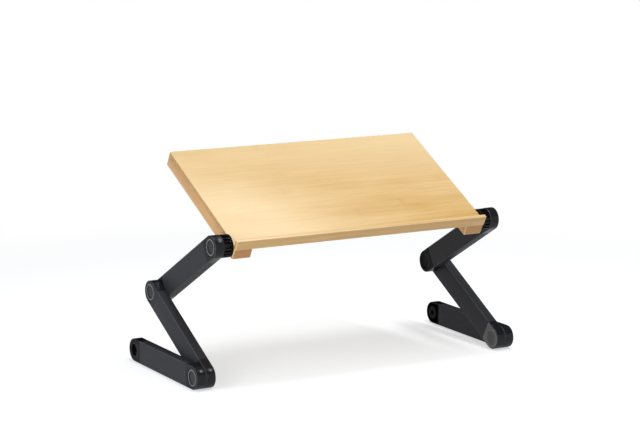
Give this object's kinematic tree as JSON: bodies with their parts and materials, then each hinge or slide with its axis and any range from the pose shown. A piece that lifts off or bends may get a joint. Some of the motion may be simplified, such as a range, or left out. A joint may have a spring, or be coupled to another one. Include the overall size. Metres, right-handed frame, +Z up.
{
  "type": "laptop bed table",
  "caption": "Tilted bamboo laptop tray with a front lip, carried on folding zigzag legs of flat black tube with push-button locking joints.",
  "frame": {"origin": "on the floor, under the middle of the table's bounding box", "axes": "+X along the hinge axes to the user's right, +Y away from the user towards the tray's raised edge, +Z up"},
  "size_m": [0.619, 0.2634, 0.3551],
  "materials": {
    "bamboo": "satin lacquer over horizontally laid bamboo strips",
    "black_aluminium": "black anodised, satin with a faint speckle",
    "black_plastic": "moulded black plastic, semi-gloss",
    "button_plastic": "moulded dark grey plastic, satin",
    "gear_steel": "stamped steel, lightly oiled",
    "spring_steel": "bright spring wire",
    "bolt_steel": "zinc plated",
    "screw_steel": "yellowish zinc plate"
  },
  "bodies": {
    "tray": {"board": "bamboo", "front_lip": "bamboo", "batten_left": "bamboo", "tray_hub_left": "black_plastic", "pivot_bolt_top_left": "bolt_steel", "lock_spring_top_left": "spring_steel", "hub_screw_front_left": "screw_steel", "hub_screw_rear_left": "screw_steel", "batten_screw_front_left": "screw_steel", "batten_screw_rear_left": "screw_steel", "batten_right": "bamboo", "tray_hub_right": "black_plastic", "pivot_bolt_top_right": "bolt_steel", "lock_spring_top_right": "spring_steel", "hub_screw_front_right": "screw_steel", "hub_screw_rear_right": "screw_steel", "batten_screw_front_right": "screw_steel", "batten_screw_rear_right": "screw_steel"},
    "upper_link_left": {"upper_top_cap_left": "black_plastic", "upper_tube_left": "black_aluminium", "upper_knee_cap_left": "black_plastic", "pivot_bolt_knee_left": "bolt_steel", "lock_spring_knee_left": "spring_steel"},
    "middle_link_left": {"middle_knee_cap_left": "black_plastic", "middle_tube_left": "black_aluminium", "middle_foot_cap_left": "black_plastic", "pivot_bolt_foot_left": "bolt_steel", "lock_spring_foot_left": "spring_steel"},
    "foot_link_left": {"foot_front_cap_left": "black_plastic", "foot_tube_left": "black_aluminium", "foot_rear_cap_left": "black_plastic"},
    "lock_gear_top_left": {"lock_gear_top_left": "gear_steel"},
    "button_top_left": {"button_top_left": "button_plastic"},
    "lock_gear_knee_left": {"lock_gear_knee_left": "gear_steel"},
    "button_knee_left": {"button_knee_left": "button_plastic"},
    "lock_gear_foot_left": {"lock_gear_foot_left": "gear_steel"},
    "button_foot_left": {"button_foot_left": "button_plastic"},
    "upper_link_right": {"upper_top_cap_right": "black_plastic", "upper_tube_right": "black_aluminium", "upper_knee_cap_right": "black_plastic", "pivot_bolt_knee_right": "bolt_steel", "lock_spring_knee_right": "spring_steel"},
    "middle_link_right": {"middle_knee_cap_right": "black_plastic", "middle_tube_right": "black_aluminium", "middle_foot_cap_right": "black_plastic", "pivot_bolt_foot_right": "bolt_steel", "lock_spring_foot_right": "spring_steel"},
    "foot_link_right": {"foot_front_cap_right": "black_plastic", "foot_tube_right": "black_aluminium", "foot_rear_cap_right": "black_plastic"},
    "lock_gear_top_right": {"lock_gear_top_right": "gear_steel"},
    "button_top_right": {"button_top_right": "button_plastic"},
    "lock_gear_knee_right": {"lock_gear_knee_right": "gear_steel"},
    "button_knee_right": {"button_knee_right": "button_plastic"},
    "lock_gear_foot_right": {"lock_gear_foot_right": "gear_steel"},
    "button_foot_right": {"button_foot_right": "button_plastic"}
  },
  "joints": [
    {"name": "top_hinge_left", "type": "hinge", "parent": "tray", "child": "upper_link_left", "pos_m": [-0.2577, -0.1012, 0.23123], "axis": [1, 0, 0], "continuous": true},
    {"name": "knee_hinge_left", "type": "hinge", "parent": "upper_link_left", "child": "middle_link_left", "pos_m": [-0.275, 0.08586, 0.12323], "axis": [1, 0, 0], "continuous": true},
    {"name": "foot_hinge_left", "type": "hinge", "parent": "middle_link_left", "child": "foot_link_left", "pos_m": [-0.2923, -0.10361, 0.0195], "axis": [1, 0, 0], "continuous": true},
    {"name": "top_hinge_right", "type": "hinge", "parent": "tray", "child": "upper_link_right", "pos_m": [0.2577, -0.1012, 0.23123], "axis": [1, 0, 0], "continuous": true},
    {"name": "knee_hinge_right", "type": "hinge", "parent": "upper_link_right", "child": "middle_link_right", "pos_m": [0.275, 0.08586, 0.12323], "axis": [1, 0, 0], "continuous": true},
    {"name": "foot_hinge_right", "type": "hinge", "parent": "middle_link_right", "child": "foot_link_right", "pos_m": [0.2923, -0.10361, 0.0195], "axis": [1, 0, 0], "continuous": true},
    {"name": "gear_slide_top_left", "type": "slide", "parent": "tray", "child": "lock_gear_top_left", "axis": [1, 0, 0], "range_m": [0, 0.0036], "stiffness_N_per_m": 1500, "springref_m": -0.003, "deforming": ["lock_spring_top_left"]},
    {"name": "gear_slide_knee_left", "type": "slide", "parent": "upper_link_left", "child": "lock_gear_knee_left", "axis": [1, 0, 0], "range_m": [0, 0.0036], "stiffness_N_per_m": 1500, "springref_m": -0.003, "deforming": ["lock_spring_knee_left"]},
    {"name": "gear_slide_foot_left", "type": "slide", "parent": "middle_link_left", "child": "lock_gear_foot_left", "axis": [1, 0, 0], "range_m": [0, 0.0036], "stiffness_N_per_m": 1500, "springref_m": -0.003, "deforming": ["lock_spring_foot_left"]},
    {"name": "gear_slide_top_right", "type": "slide", "parent": "tray", "child": "lock_gear_top_right", "axis": [-1, 0, 0], "range_m": [0, 0.0036], "stiffness_N_per_m": 1500, "springref_m": -0.003, "deforming": ["lock_spring_top_right"]},
    {"name": "gear_slide_knee_right", "type": "slide", "parent": "upper_link_right", "child": "lock_gear_knee_right", "axis": [-1, 0, 0], "range_m": [0, 0.0036], "stiffness_N_per_m": 1500, "springref_m": -0.003, "deforming": ["lock_spring_knee_right"]},
    {"name": "gear_slide_foot_right", "type": "slide", "parent": "middle_link_right", "child": "lock_gear_foot_right", "axis": [-1, 0, 0], "range_m": [0, 0.0036], "stiffness_N_per_m": 1500, "springref_m": -0.003, "deforming": ["lock_spring_foot_right"]},
    {"name": "button_press_top_left", "type": "slide", "parent": "upper_link_left", "child": "button_top_left", "axis": [1, 0, 0], "range_m": [0, 0.0036]},
    {"name": "button_press_knee_left", "type": "slide", "parent": "middle_link_left", "child": "button_knee_left", "axis": [1, 0, 0], "range_m": [0, 0.0036]},
    {"name": "button_press_foot_left", "type": "slide", "parent": "foot_link_left", "child": "button_foot_left", "axis": [1, 0, 0], "range_m": [0, 0.0036]},
    {"name": "button_press_top_right", "type": "slide", "parent": "upper_link_right", "child": "button_top_right", "axis": [-1, 0, 0], "range_m": [0, 0.0036]},
    {"name": "button_press_knee_right", "type": "slide", "parent": "middle_link_right", "child": "button_knee_right", "axis": [-1, 0, 0], "range_m": [0, 0.0036]},
    {"name": "button_press_foot_right", "type": "slide", "parent": "foot_link_right", "child": "button_foot_right", "axis": [-1, 0, 0], "range_m": [0, 0.0036]}
  ],
  "couplings": [
    {"joint": "button_press_top_left", "follows": "gear_slide_top_left", "ratio": 1},
    {"joint": "button_press_knee_left", "follows": "gear_slide_knee_left", "ratio": 1},
    {"joint": "button_press_foot_left", "follows": "gear_slide_foot_left", "ratio": 1},
    {"joint": "button_press_top_right", "follows": "gear_slide_top_right", "ratio": 1},
    {"joint": "button_press_knee_right", "follows": "gear_slide_knee_right", "ratio": 1},
    {"joint": "button_press_foot_right", "follows": "gear_slide_foot_right", "ratio": 1}
  ]
}
